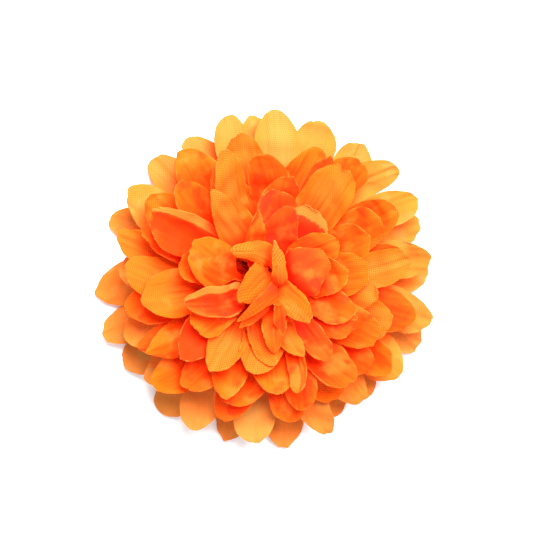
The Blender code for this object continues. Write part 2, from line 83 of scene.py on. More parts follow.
board = bpy.data.meshes.new("floor")
board.from_pydata(
    [(x * FLOOR_HALF, y * FLOOR_HALF, -FLOOR_DROP) for x, y in ((-1, -1), (1, -1), (1, 1), (-1, 1))],
    [], [(0, 1, 2, 3)])
floor_finish = bpy.data.materials.new("pale_board")
floor_finish.use_nodes = True
set_inputs(floor_finish.node_tree.nodes["Principled BSDF"],
           {"Base Color": (*FLOOR_TONE, 1), "Roughness": FLOOR_ROUGHNESS})
board.materials.append(floor_finish)
floor = bpy.data.objects.new("floor", board)
bpy.context.scene.collection.objects.link(floor)

lamp = bpy.data.objects.new("soft_lamp", bpy.data.lights.new("soft_lamp", "AREA"))
lamp.data.size = LAMP_SIZE
lamp.data.energy = LAMP_POWER
lamp.location = LAMP_PLACE
lamp.rotation_euler = (-LAMP_PLACE).to_track_quat("-Z", "Y").to_euler()
bpy.context.scene.collection.objects.link(lamp)

surround = bpy.data.worlds.new("white_surround")
surround.use_nodes = True
set_inputs(surround.node_tree.nodes["Background"], {"Color": (1, 1, 1, 1), "Strength": SURROUND_STRENGTH})
bpy.context.scene.world = surround
bpy.context.scene.view_settings.view_transform = "Standard"

# The back collar is a turned cap of green moulded polyethylene that the head lies on.  The pin's end
# sits in its blind socket, and fine ribs round its side gave the machine a grip.
MM = 0.001
CRISP_EDGE = 50.0
COLLAR_RADIUS = 6.4
COLLAR_TOP_Z = 3.8
COLLAR_EDGE = 0.8
COLLAR_EDGE_STEPS = 7
COLLAR_TOP_EDGE = 0.4
SOCKET_RADIUS = 1.8
SOCKET_FLOOR_Z = 1.0
SOCKET_EDGE = 0.2
COLLAR_RIBS = 36
COLLAR_RIB_DEPTH = 0.14
RIB_ROUNDING = 0.7
COLLAR_TURNS = 288
GREEN = (0.085, 0.20, 0.042)
GREEN_PALE = (0.13, 0.27, 0.075)


def arc(centre_r, centre_z, radius, start, end, steps):
    """Points of a round edge in the (radius, height) plane: the centre plus the radius times the cosine and
    sine of the angle."""
    turn = np.radians(np.linspace(start, end, steps))
    return np.stack([centre_r + radius * np.cos(turn), centre_z + radius * np.sin(turn)], -1)


def turned_points(profile, turns, ribs=0, depth=0.0):
    """A profile carried round the axis: x = r cos(a), y = r sin(a), z as it is.  Where the profile's third
    figure is 1, r goes in and out by depth times a rounded wave with that many ribs."""
    angle = np.linspace(0, 2 * math.pi, turns, endpoint=False)
    wave = 0.5 - np.abs(np.cos(angle * ribs / 2)) ** RIB_ROUNDING
    r = profile[:, :1] + profile[:, 2:] * depth * wave
    return np.stack([r * np.cos(angle), r * np.sin(angle), np.repeat(profile[:, 1:2], turns, 1)], -1)


def ring_faces(rings, turns):
    """Quads between neighbouring rings of a turned grid, facing outwards when the profile runs upwards."""
    j = np.arange(turns)
    i = np.arange(rings - 1)[:, None] * turns
    following = (j + 1) % turns
    return np.stack([i + j, i + following, i + turns + following, i + turns + j], -1).reshape(-1, 4)


def mesh_piece(name, points, quads, material, caps=()):
    """A smooth-shaded object of millimetre points, quads and a few many-sided caps, crisp at sharp edges."""
    points = np.asarray(points, np.float32) * MM
    quads = np.asarray(quads, np.int32)
    corners = np.concatenate([quads.ravel(), *[np.asarray(cap, np.int32) for cap in caps]])
    sizes = np.concatenate([np.full(len(quads), 4), [len(cap) for cap in caps]]).astype(np.int32)
    mesh = bpy.data.meshes.new(name)
    mesh.vertices.add(len(points))
    mesh.vertices.foreach_set("co", points.ravel())
    mesh.loops.add(len(corners))
    mesh.loops.foreach_set("vertex_index", corners)
    mesh.polygons.add(len(sizes))
    mesh.polygons.foreach_set("loop_start", np.concatenate([[0], np.cumsum(sizes)[:-1]]).astype(np.int32))
    mesh.update(calc_edges=True)
    mesh.shade_smooth()
    mesh.set_sharp_from_angle(angle=math.radians(CRISP_EDGE))
    mesh.materials.append(material)
    piece = bpy.data.objects.new(name, mesh)
    bpy.context.scene.collection.objects.link(piece)
    return piece


def turned_piece(name, profile, turns, material, ribs=0, depth=0.0):
    """A moulding: its profile carried round the axis and closed by a flat cap at each end."""
    points = turned_points(profile, turns, ribs, depth).reshape(-1, 3)
    first_ring = np.arange(turns)
    last_ring = first_ring + (len(profile) - 1) * turns
    quads = ring_faces(len(profile), turns)
    return mesh_piece(name, points, quads, material, caps=(first_ring[::-1], last_ring))


def link_nodes(material, *pairs):
    """Link sockets of a material, written as pairs of (from, to)."""
    for source, target in pairs:
        material.node_tree.links.new(source, target)


def plastic_material(name, dark, pale):
    """Moulded plastic: two close tones in a soft cloud, a fine grain in the gloss and in the bump."""
    material = bpy.data.materials.new(name)
    material.use_nodes = True
    nodes = material.node_tree.nodes
    shader = nodes["Principled BSDF"]
    place = nodes.new("ShaderNodeTexCoord")
    cloud = nodes.new("ShaderNodeTexNoise")
    set_inputs(cloud, {"Scale": 420.0})
    grain = nodes.new("ShaderNodeTexNoise")
    set_inputs(grain, {"Scale": 5200.0})
    tones = nodes.new("ShaderNodeMix")
    tones.data_type = "RGBA"
    set_inputs(tones, {"A": (*dark, 1), "B": (*pale, 1)})
    gloss = nodes.new("ShaderNodeMapRange")
    set_inputs(gloss, {"To Min": 0.38, "To Max": 0.58})
    bump = nodes.new("ShaderNodeBump")
    set_inputs(bump, {"Strength": 0.25, "Distance": 0.00004})
    link_nodes(
        material,
        (place.outputs["Object"], cloud.inputs["Vector"]),
        (place.outputs["Object"], grain.inputs["Vector"]),
        (cloud.outputs["Fac"], tones.inputs["Factor"]),
        (tones.outputs["Result"], shader.inputs["Base Color"]),
        (grain.outputs["Fac"], gloss.inputs["Value"]),
        (gloss.outputs["Result"], shader.inputs["Roughness"]),
        (grain.outputs["Fac"], bump.inputs["Height"]),
        (bump.outputs["Normal"], shader.inputs["Normal"]),
    )
    return material


green_plastic = plastic_material("green_moulding", GREEN, GREEN_PALE)
outline = np.concatenate([
    arc(COLLAR_RADIUS - COLLAR_EDGE, COLLAR_EDGE, COLLAR_EDGE, -90, 0, COLLAR_EDGE_STEPS),
    arc(COLLAR_RADIUS - COLLAR_TOP_EDGE, COLLAR_TOP_Z - COLLAR_TOP_EDGE, COLLAR_TOP_EDGE, 0, 90, 5),
    arc(SOCKET_RADIUS + SOCKET_EDGE, COLLAR_TOP_Z - SOCKET_EDGE, SOCKET_EDGE, 90, 180, 4),
    [(SOCKET_RADIUS, SOCKET_FLOOR_Z)],
])
ribbed = np.zeros((len(outline), 1))
ribbed[COLLAR_EDGE_STEPS - 1:COLLAR_EDGE_STEPS + 1] = 1
profile = np.concatenate([outline, ribbed], 1)
collar = turned_piece("collar_moulding", profile, COLLAR_TURNS, green_plastic, COLLAR_RIBS, COLLAR_RIB_DEPTH)
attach(collar, "root")
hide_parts("back_collar")

# The centre pin is a moulded plastic rod with a small domed head, which is pushed through the eight hubs
# into the collar's socket.  Only its head can be glimpsed between the heart's petals.
FIRST_HUB_Z = 4.7
HUB_PITCH = 1.5
HUB_THICKNESS = 1.2
ROSETTE_COUNT = 8
PIN_GAP = 0.3
PIN_RADIUS = 1.5
PIN_END_Z = 1.3
PIN_END_EDGE = 0.3
PIN_HEAD_RADIUS = 2.0
PIN_HEAD_HEIGHT = 1.15
PIN_HEAD_RIM = 0.1
PIN_HEAD_EDGE = 0.05
PIN_HEAD_EDGE_RISE = 0.06
DOME_FROM = 12
DOME_TO = 86
DOME_FULLNESS = 0.8
PIN_TURNS = 96

shoulder = FIRST_HUB_Z + HUB_PITCH * (ROSETTE_COUNT - 1) + HUB_THICKNESS / 2 + PIN_GAP
dome_turn = np.radians(np.linspace(DOME_FROM, DOME_TO, 12))
dome = np.stack([PIN_HEAD_RADIUS * np.cos(dome_turn) ** DOME_FULLNESS,
                 shoulder + PIN_HEAD_RIM + (PIN_HEAD_HEIGHT - PIN_HEAD_RIM) * np.sin(dome_turn)], -1)
outline = np.concatenate([
    arc(PIN_RADIUS - PIN_END_EDGE, PIN_END_Z + PIN_END_EDGE, PIN_END_EDGE, -90, 0, 5),
    [(PIN_RADIUS, shoulder), (PIN_HEAD_RADIUS - PIN_HEAD_EDGE, shoulder),
     (PIN_HEAD_RADIUS, shoulder + PIN_HEAD_EDGE_RISE)],
    dome,
])
profile = np.concatenate([outline, np.zeros((len(outline), 1))], 1)
pin = turned_piece("pin_moulding", profile, PIN_TURNS, green_plastic)
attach(pin, "root")
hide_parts("centre_pin")

# The eight rosettes nest: each is a flat die-cut star of plain-weave polyester, heat-set into a cup that is
# steeper than the one below, so that their petals fill a dome.

# For each rosette, from the lowest up: the petals' length and width, the radius where they bend up from the
# hub, their slope at the root and at the tip, how late the slope changes, and the lean of the heart.
NEST = np.array([
    (44.5, 13.0, 7.0, 10, -17, 1.00, 0),
    (44.0, 13.0, 6.8, 21, -8, 1.00, 0),
    (42.0, 12.6, 6.5, 32, 0, 1.00, 0),
    (39.0, 13.6, 6.1, 43, 6, 1.05, 1),
    (35.5, 13.6, 5.5, 54, 10, 1.15, 2),
    (31.5, 13.0, 4.8, 65, 13, 1.30, 3),
    (28.0, 12.0, 3.9, 78, 13, 1.50, 4),
    (24.5, 8.0, 2.8, 92, 10, 1.80, 5),
])
# For each rosette, the azimuth of its first petal's root, and the azimuth and reach of every petal's tip.
TIPS = [
    (4.0, [(3, 49), (19.5, 49.8), (53, 49.5), (71.5, 50.2), (94, 48.5), (118, 48), (133, 49.3), (157, 50),
           (183, 50.1), (197, 50), (212, 49.2), (230, 50.6), (256, 49.2), (275.5, 50.9), (298, 47),
           (312.6, 47), (338.5, 51.0)]),
    (14.5, [(7, 48.3), (27.0, 51.0), (41.4, 50.7), (88, 50.8), (102.2, 50.7), (124, 46.3), (147, 49),
            (176, 44), (200, 45), (220, 46), (242, 48.2), (264, 47), (291.5, 49.2), (309, 46.1),
            (324, 48.4), (348, 49.9)]),
    (10.0, [(12.4, 40.8), (30, 43), (54, 44.4), (71, 42.3), (100.5, 44.7), (123, 46.5), (143, 43),
            (163, 46.7), (188, 42.2), (204, 42), (222, 45), (252, 42), (278, 41), (300, 39),
            (323, 43.7), (345.5, 43.9)]),
    (5.0, [(12, 41), (33, 37), (67.4, 41), (95.4, 38.4), (116, 37.6), (131, 40), (153.4, 40.8),
           (171, 42), (208, 41), (230, 38), (248, 36), (286.5, 37), (318, 37.6), (343, 37)]),
    (0.0, [(358, 30.6), (33, 32), (60, 40), (82, 32), (111, 42), (148, 40.5), (183.5, 37.0),
           (219, 32.5), (247, 34.5), (272, 31), (312, 36), (334, 34)]),
    (12.0, [(12, 28), (65, 26), (88, 28), (120, 33), (165, 28), (203, 25), (234, 29.5), (257, 25),
            (284, 31), (332, 26)]),
    (22.0, [(8, 22), (37, 23), (80, 24), (101, 24.5), (151, 27), (187, 25.5), (270, 22), (294, 22),
            (308, 26), (342, 24)]),
    (25.0, [(28, 19), (91, 14.5), (141, 15.7), (199, 10.5), (220, 13.8), (228, 14.2), (272, 18),
            (282, 13.8), (321, 14.1)]),
]
# The heart's petals have a spine each: they rise from the hub's edge in a tight bundle, cross over its top
# and bend out to their own sides, led by three guides, the last of which is the tip.
HEART_SPINES = [
    ((2.2, 0.8, 31), (3.0, 4.0, 46), (16.3, 9.0, 36.5)),
    ((0.8, 2.0, 31), (3.4, -4.5, 46), (-0.3, 14.5, 41)),
    ((-0.5, 4.0, 28), (5.5, 13.0, 42), (-12.3, 11.2, 37)),
    ((-1.5, 3.0, 29), (3.0, 11.5, 43), (-10.0, -3.2, 36)),
    ((-0.5, -0.3, 32), (7.5, 5.8, 46), (-10.5, -8.9, 36)),
    ((0.0, -1.5, 31), (2.0, -1.0, 41), (-9.8, -10.8, 34)),
    ((0.8, -1.5, 30), (-0.2, -6.0, 40.5), (0.6, -18.0, 33.5)),
    ((1.5, -1.0, 31), (1.0, -1.0, 46.5), (2.4, -13.2, 37)),
    ((2.0, -0.3, 31), (-3.5, 5.0, 46), (11.0, -8.9, 36.5)),
]
# Which way the heart leans, and how much of a rosette's lean shows at its hub and at its petals' tips.
HEART_AZIMUTH = -60.0
LEAN_AT_HUB = 0.5
LEAN_AT_TIP = 1.5
# What the solids keep: their blades' thickness, the space between two rosettes, a petal's least play, how
# deep its root is sunk in the hub and how well covered, and the roots' share of the hub's edge.
CAD_BLADE = 0.6
LAYER_GAP = 0.5
LEAST_ROOM = 0.02
ROOT_SUNK = 1.4
ROOT_COVER = 0.05
ROOTS_SHARE = 0.84
# How far tips may be off the rosette's own level, and how much longer or shorter a petal may be.
LEVELS_APART = 0.3
LEVEL_FOLLOWED = 0.6
LENGTHS_APART = 0.25
# Past the tips above it a petal is free to rise: the margin past them and beside them, how fast the room
# grows, and how steeply their reach falls off beside a petal.
OPEN_MARGIN = 1.5
OPEN_BESIDE = 1.0
OPEN_RISE = 1.0
OPEN_SIDE = 2.0
# In parts of a petal's length: up to where it stays narrow, by rosette, where its roll and folds are full,
# where it has come to its own level, and where its tip's curl begins; then the powers that shape these.
CLAWS = (0.0, 0.0, 0.05, 0.1, 0.15, 0.2, 0.28, 0.38)
FULL_AT = 0.55
OWN_LEVEL_AT = 0.4
CURL_FROM = 0.5
SWELL = 1.05
SKEW_CHANGE = 6
POINT_ROUNDING = 0.9
GROWING = 1.3
SWINGING = 1.5
# Waves along a petal's edges and finer ripples, in radians per length, and the ripples' depth.
WAVES = 9
RIPPLES = 13
RIPPLE_DEPTH = 0.35
# Petals ease to a stop this high above the floor, beginning this far above it.
FLOOR_Z = CAD_BLADE / 2 + 0.4
FLOOR_EASE = 2.0
# Spans from which a petal's own figures are drawn.
DRAWN = {
    "level": (-0.1, 0.1),
    "roll": (0, 26),
    "cup": (-1.4, 2.6),
    "curl": (-2.6, 2.6),
    "buckle": (-0.9, 0.9),
    "wave": (0.2, 0.9),
    "phase": (0, 2 * math.pi),
    "sway": (-1.5, 1.5),
    "width": (0.84, 1.1),
    "widest": (0.64, 0.80),
    "skew": (-0.09, 0.09),
    "blunt": (2.1, 3.8),
    "point": (0, 0.5),
    "hold": (0.84, 1.0),
}
PETAL_SEED = 31
STEPS, STEP_WEIGHTS = np.polynomial.legendre.leggauss(8)
draws = np.random.default_rng(PETAL_SEED)


def ladder(column, level):
    """A rosette's figure at any level: straight between the rosettes, and run on past the ends."""
    values = NEST[:, column]
    last = len(values) - 1
    level = np.asarray(level, float)
    middle = np.interp(level, np.arange(last + 1), values)
    above = np.clip(level - last, 0, None) * (values[-1] - values[-2])
    below = np.clip(level, None, 0) * (values[1] - values[0])
    return middle + above + below


def shell(level, along, azimuth):
    """Radius, height and slope of the domed shell at this level, so far along from the hub: the slope eases
    from root to tip as a power of the way along, and radius and height are its cosine and sine summed."""
    level, along, azimuth = np.broadcast_arrays(level, along, azimuth)
    lean = np.radians(ladder(6, level)) * np.cos(azimuth - math.radians(HEART_AZIMUTH))
    slope_0 = np.radians(ladder(3, level)) - lean * LEAN_AT_HUB
    slope_1 = np.radians(ladder(4, level)) - lean * LEAN_AT_TIP
    length, late = ladder(0, level), ladder(5, level)
    past_hub = np.maximum(along, 0)
    radius = ladder(2, level) + np.minimum(along, 0) * np.cos(slope_0)
    height = FIRST_HUB_Z + HUB_PITCH * level + np.minimum(along, 0) * np.sin(slope_0)
    for step, weight in zip(STEPS, STEP_WEIGHTS):
        slope = slope_0 + (slope_1 - slope_0) * (past_hub * (step + 1) / 2 / length) ** late
        radius = radius + weight / 2 * past_hub * np.cos(slope)
        height = height + weight / 2 * past_hub * np.sin(slope)
    return radius, height, slope_0 + (slope_1 - slope_0) * (past_hub / length) ** late


def room(level, other, along, azimuth):
    """Distance between two shells, square to the first."""
    r0, z0, slope = shell(level, along, azimuth)
    r1, z1, _ = shell(other, along, azimuth)
    return np.abs((z1 - z0) * np.cos(slope) - (r1 - r0) * np.sin(slope))


def held(offset, up, down):
    """An offset eased into its limit: the limit times tanh of their ratio."""
    limit = np.maximum(np.where(offset > 0, up, down), LEAST_ROOM)
    return limit * np.tanh(offset / limit)


def cover(k, azimuth):
    """How far out the next rosette's petals lie over this azimuth: the reach of the tips, less a slope beside
    each petal."""
    reached = np.zeros_like(azimuth)
    for tip_azimuth, reach in TIPS[k + 1][1] if k + 1 < ROSETTE_COUNT else ():
        aside = np.abs((azimuth - math.radians(tip_azimuth) + math.pi) % (2 * math.pi) - math.pi) * reach
        past_edge = np.maximum(aside - NEST[k + 1, 1] / 2 - OPEN_BESIDE, 0)
        reached = np.maximum(reached, reach - OPEN_SIDE * past_edge)
    return reached


def spine_points(k, pose, t):
    """Points, forward, side and face directions along a heart petal's own spine: a cubic curve from the hub's
    edge through three guides, facing from the root's azimuth round to where the last two guides lead."""
    root = math.radians(pose["root"])
    start = (NEST[k, 2] * math.cos(root), NEST[k, 2] * math.sin(root), FIRST_HUB_Z + HUB_PITCH * k)
    guides = np.array([start, *pose["spine"]])
    t = t[..., None]
    weights = ((1 - t) ** 3, 3 * (1 - t) ** 2 * t, 3 * (1 - t) * t ** 2, t ** 3)
    points = sum(weight * guide for weight, guide in zip(weights, guides))
    steps = np.diff(guides, axis=0)
    weights = ((1 - t) ** 2, 2 * (1 - t) * t, t ** 2)
    ahead = sum(weight * step for weight, step in zip(weights, steps))
    ahead = ahead / np.linalg.norm(ahead, axis=-1, keepdims=True)
    heading = math.atan2(steps[2][1], steps[2][0])
    turn = (heading - root + math.pi) % (2 * math.pi) - math.pi
    facing = root + turn * np.clip(t / FULL_AT, 0, 1)
    side = np.concatenate([-np.sin(facing), np.cos(facing), np.zeros_like(facing)], -1)
    side = side - ahead * np.sum(side * ahead, -1, keepdims=True)
    side = side / np.linalg.norm(side, axis=-1, keepdims=True)
    return points, ahead, side, np.cross(ahead, side)


def half_width(part, side, pose):
    """Half the petal's width: a narrow claw that swells as a sine to the widest place, then an end between a
    rounded one, the root of 1 less a power of the way on, and a pointed one, a cosine."""
    claw = pose["claw"]
    widest = pose["widest"] + pose["skew"] * np.tanh(side * SKEW_CHANGE)
    swell = np.sin(np.clip((part - claw) / (widest - claw), 0, 1) * math.pi / 2) ** SWELL
    end = np.clip((part - widest) / (1 - widest), 0, 1)
    rounded = (1 - end ** pose["blunt"]) ** 0.5
    pointed = np.cos(end * math.pi / 2) ** POINT_ROUNDING
    sides = pose["root_half"] + (pose["half"] - pose["root_half"]) * swell
    return sides * ((1 - pose["point"]) * rounded + pose["point"] * pointed)


def petal_pose(k, i, special):
    """The figures of one petal: its level, length, swing, roll, cup, fold, curl, waves and outline."""
    length, width, hub = NEST[k, :3]
    first, tips = TIPS[k]
    tip_azimuth, reach = tips[i]
    root_azimuth = first + 360.0 * i / len(tips)
    azimuth = math.radians(tip_azimuth)
    pose = {figure: draws.uniform(*span) for figure, span in DRAWN.items()}
    levels = np.linspace(-LEVELS_APART, LEVELS_APART, 61)
    reached = shell(k + levels, length, azimuth)[0]
    level = k + LEVEL_FOLLOWED * levels[np.argmin(np.abs(reached - reach))] + pose["level"]
    lengths = np.linspace(1 - LENGTHS_APART, 1 + LENGTHS_APART, 101) * length
    reached = shell(level, lengths, azimuth)[0]
    special = dict(special)
    pose.update(
        level=level,
        length=lengths[np.argmin(np.abs(reached - reach))],
        root=root_azimuth,
        swing=(tip_azimuth - root_azimuth + 180) % 360 - 180,
        root_half=ROOTS_SHARE * math.pi * hub / len(tips),
        half=width / 2 * pose["width"] * special.pop("wide", 1.0),
        fold=0.0,
        claw=CLAWS[k],
    )
    if k == ROSETTE_COUNT - 1:
        pose.update(spine=HEART_SPINES[i], roll=0.0, curl=0.0, sway=0.0)
    pose.update(special)
    return pose


def petal_middle(k, pose, t, x):
    """Middle surface of a petal's cloth from t, the way along in parts of its length, and x, the way across
    in millimetres: a point of its spine or of the rosette's shell, moved square to it by fold, roll, cup,
    curl and waves, held in the room between the neighbouring rosettes, and swung round to its azimuth."""
    along = t * pose["length"]
    grown_t = np.clip(t, 0, 1)
    grown = np.clip(grown_t / FULL_AT, 0, 1) ** GROWING
    side = x / pose["half"]
    fold = math.radians(pose["fold"]) * grown
    roll = math.radians(pose["roll"]) * grown
    offset = np.abs(x) * np.sin(fold)
    x = x * np.cos(fold)
    offset, x = offset * np.cos(roll) + x * np.sin(roll), x * np.cos(roll) - offset * np.sin(roll)
    offset = offset + pose["cup"] * side ** 2 * grown
    offset = offset + pose["curl"] * np.clip((grown_t - CURL_FROM) / (1 - CURL_FROM), 0, 1) ** 2
    offset = offset + pose["buckle"] * np.sin(WAVES * grown_t + 2 * pose["phase"]) * grown
    offset = offset + pose["wave"] * np.sin(WAVES * grown_t + pose["phase"]) * side * grown
    offset = offset + RIPPLE_DEPTH * np.sin(RIPPLES * grown_t + 2 * pose["phase"]) * side ** 2 * grown
    x = x + pose["sway"] * grown_t ** 2
    if "spine" in pose:
        points, ahead, beside, face = spine_points(k, pose, grown_t)
        beyond = np.minimum(along, 0) + np.maximum(along - pose["length"], 0)
        return points + ahead * beyond[..., None] + beside * x[..., None] + face * offset[..., None]
    azimuth = np.radians(pose["root"] + pose["swing"] * grown_t ** SWINGING)
    level = k + (pose["level"] - k) * np.clip(grown_t / OWN_LEVEL_AT, 0, 1)
    radius, height, slope = shell(level, along, azimuth)
    above = room(level, k + 0.5, along, azimuth) - (CAD_BLADE + LAYER_GAP) / 2
    above = above + OPEN_RISE * np.maximum(radius - cover(k, azimuth) - OPEN_MARGIN, 0)
    below = room(level, k - 0.5, along, azimuth) - (CAD_BLADE + LAYER_GAP) / 2
    offset = held(offset, above * pose["hold"], below * pose["hold"])
    radius = radius - offset * np.sin(slope)
    height = height + offset * np.cos(slope)
    eased = FLOOR_Z + FLOOR_EASE * np.exp((height - FLOOR_Z) / FLOOR_EASE - 1)
    height = np.where(height > FLOOR_Z + FLOOR_EASE, height, eased)
    azimuth = azimuth + x / np.maximum(radius, 1.0)
    return np.stack([radius * np.cos(azimuth), radius * np.sin(azimuth), height], -1)


# The outer rosettes are the two widest.  Their cloth is dyed yellow orange and lies nearly flat, and their
# tips make the outline of the head.
CLOTH_THICKNESS = 0.24
THREAD_PITCH = 0.56
CLOTH_SHEET = 120.0
TONES_APART = 0.7
# The fine grid of a petal: its rows, of which a share crowds up to the last angle at its end, and its
# columns, which crowd a little to its edges.
PETAL_ROWS = 58
PETAL_COLUMNS = 19
END_ROWS_SHARE = 0.42
LAST_ROW = 89.2
COLUMNS_CROWDED = 0.25
# Relief of the cloth: depths and sizes of its groove, crumples and ruffled edge, its deepest, and from
# where along a petal and above which part of its width it is full.
CREASES = 4
CRUMPLES = 5
GROOVE_DEPTH = 0.18
GROOVE_WIDTH = 0.14
CRUMPLE_DEPTH = 0.17
CRUMPLE_LENGTH = 18
RUFFLE_DEPTH = 0.28
RELIEF_LIMIT = 0.5
RELIEF_FULL_AT = 0.35
BROAD_AT = 0.55
RELIEF_EASE = 1.5
# Edges: knots of their bends and of their nicks, along the sides and round the tip, in shares of the fray.
SIDE_BENDS, SIDE_NICKS, SIDE_NICK_SHARE = 13, 90, 0.3
TIP_BENDS, TIP_NICKS = 9, 40
TIP_BEND_SHARE, TIP_NICK_SHARE = 0.25, 0.06
TIP_STRAYS_FROM = 0.7
NARROWEST_FRAYED = 2.0
TIP_EDGE = 0.02
# A lip turned over: from where across and along a petal it bends, how deep, and how sharp its fold is.
LIP_FROM = 0.6
LIP_TIP_FROM = 0.8
LIP_DROP = 1.0
LIP_FOLD = 12
# The hub disc's rim, its hole for the pin, the steps of each straight side and how far its corners stand out.
HUB_RIM = 0.1
HUB_HOLE_RADIUS = 1.8
HUB_SIDE_STEPS = 8
HUB_CORNER = 1.02
FINE_SEED = 7
fine = np.random.default_rng(FINE_SEED)


def relief(t, side, length, rise):
    """Fine relief of heat-set cloth: a shallow middle groove, a few soft creases that fan out from the root,
    each a bell curve across the petal, broad crumples, each a slanted sine, and a ruffle towards the edge."""
    height = -GROOVE_DEPTH * np.exp(-(side / GROOVE_WIDTH) ** 2) * rise
    for _ in range(CREASES):
        middle, spread, depth = fine.uniform(-0.8, 0.8), fine.uniform(0.05, 0.14), fine.uniform(-0.45, 0.45)
        height = height + depth * np.exp(-((side - middle * (0.4 + 0.6 * t)) / spread) ** 2) * rise
    for _ in range(CRUMPLES):
        waves, slant, phase = fine.uniform(0.6, 2.6), fine.uniform(-3.5, 3.5), fine.uniform(0, 2 * math.pi)
        turn = 2 * math.pi * waves * t * length / CRUMPLE_LENGTH + slant * side + phase
        height = height + CRUMPLE_DEPTH * np.sin(turn) * rise
    for edge in (-1, 1):
        waves, phase = fine.uniform(2.0, 4.5), fine.uniform(0, 2 * math.pi)
        near = np.clip(side * edge, 0, 1) ** 3
        height = height + RUFFLE_DEPTH * near * np.sin(2 * math.pi * waves * t + phase) * rise
    return RELIEF_LIMIT * np.tanh(height / RELIEF_LIMIT)


def wander(place, knots, depth):
    """A line that wanders: normal draws at even knots from -1 to 1, joined up, times the depth."""
    return depth * np.interp(place, np.linspace(-1, 1, knots), fine.normal(0, 1, knots))


def petal_rows(k, pose):
    """Ways along of a petal's rows: even from its sunk root to its widest place, then sines of even angles,
    which crowd at its end."""
    slope = math.radians(NEST[k, 3])
    sunk = (HUB_THICKNESS / 2 - ROOT_COVER - CAD_BLADE / 2 * math.cos(slope)) / math.sin(slope)
    start = -min(ROOT_SUNK, sunk) / pose["length"]
    end_rows = int(PETAL_ROWS * END_ROWS_SHARE)
    body = np.linspace(start, pose["widest"], PETAL_ROWS - end_rows, endpoint=False)
    end = pose["widest"] + (1 - pose["widest"]) * np.sin(np.radians(np.linspace(0, LAST_ROW, end_rows)))
    return np.concatenate([body, end])


def petal_grid(k, pose, fray):
    """Middle points of one petal's cloth on a fine grid, with their normals, place in the flat cloth, ways
    along and across, and distance to the edge: points of petal_middle, moved square to it by the relief and
    the lips.  The edges wander and fray.  Past a lip's fold the distance is -1."""
    columns = np.linspace(-1, 1, PETAL_COLUMNS)
    columns = (1 - COLUMNS_CROWDED) * columns + COLUMNS_CROWDED * np.sin(columns * math.pi / 2)
    t, side = np.meshgrid(petal_rows(k, pose), columns, indexing="ij")
    half = half_width(np.clip(t, 0, 1), side, pose)
    rise = np.clip(t / RELIEF_FULL_AT, 0, 1) ** RELIEF_EASE
    edges = [
        wander(2 * t - 1, SIDE_BENDS, fray) + wander(2 * t - 1, SIDE_NICKS, SIDE_NICK_SHARE * fray)
        for _ in ("left", "right")]
    strayed = np.where(side > 0, *edges) * np.abs(side) ** 4 / np.maximum(half, NARROWEST_FRAYED)
    x = side * half * (1 + strayed * rise)
    across = x / pose["half"]
    strayed = wander(across, TIP_BENDS, TIP_BEND_SHARE * fray)
    strayed = strayed + wander(across, TIP_NICKS, TIP_NICK_SHARE * fray)
    strayed = strayed * np.clip((t - TIP_STRAYS_FROM) / (1 - TIP_STRAYS_FROM), 0, 1) ** 2
    middle = petal_middle(k, pose, t + strayed * pose["half"] / pose["length"], x)
    normal = np.cross(np.gradient(middle, axis=0), np.gradient(middle, axis=1))
    normal = normal / np.maximum(np.linalg.norm(normal, axis=-1, keepdims=True), 1e-9)
    side_lip = np.clip((pose.get("lip_side", 0) * side - LIP_FROM) / (1 - LIP_FROM), 0, 1) * rise
    tip_lip = np.clip((t - LIP_TIP_FROM) / (1 - LIP_TIP_FROM), 0, 1) * pose.get("lip_tip", 0)
    lip = np.maximum(side_lip, tip_lip)
    broad = np.clip(half / (BROAD_AT * pose["half"]), 0, 1) ** RELIEF_EASE
    bent = relief(t, across, pose["length"], rise) * broad - LIP_DROP * lip
    middle = middle + normal * bent[..., None]
    turn = math.radians(pose["root"])
    out = NEST[k, 2] + t * pose["length"]
    flat = np.stack([
        out * math.cos(turn) - x * math.sin(turn),
        out * math.sin(turn) + x * math.cos(turn)], -1)
    to_edge = np.minimum(half - np.abs(x), (1 - t) * pose["length"] + TIP_EDGE)
    to_edge = np.maximum(to_edge, 0) - np.clip(lip * LIP_FOLD, 0, 1) * (1 + np.maximum(to_edge, 0))
    return middle, normal, flat, t, across, to_edge


def skin_faces(rows, columns):
    """Quads of a closed blade: upper skin, lower skin turned over, and the strip round the rim."""
    count = rows * columns
    place = np.arange(count).reshape(rows, columns)
    a, b, c, d = place[:-1, :-1], place[1:, :-1], place[1:, 1:], place[:-1, 1:]
    upper = np.stack([a, b, c, d], -1).reshape(-1, 4)
    lower = upper[:, ::-1] + count
    rim = np.concatenate([place[:-1, 0], place[-1, :-1], place[:0:-1, -1], place[0, :0:-1]])
    following = np.roll(rim, -1)
    strip = np.stack([following, rim, rim + count, following + count], -1)
    return np.concatenate([upper, lower, strip])


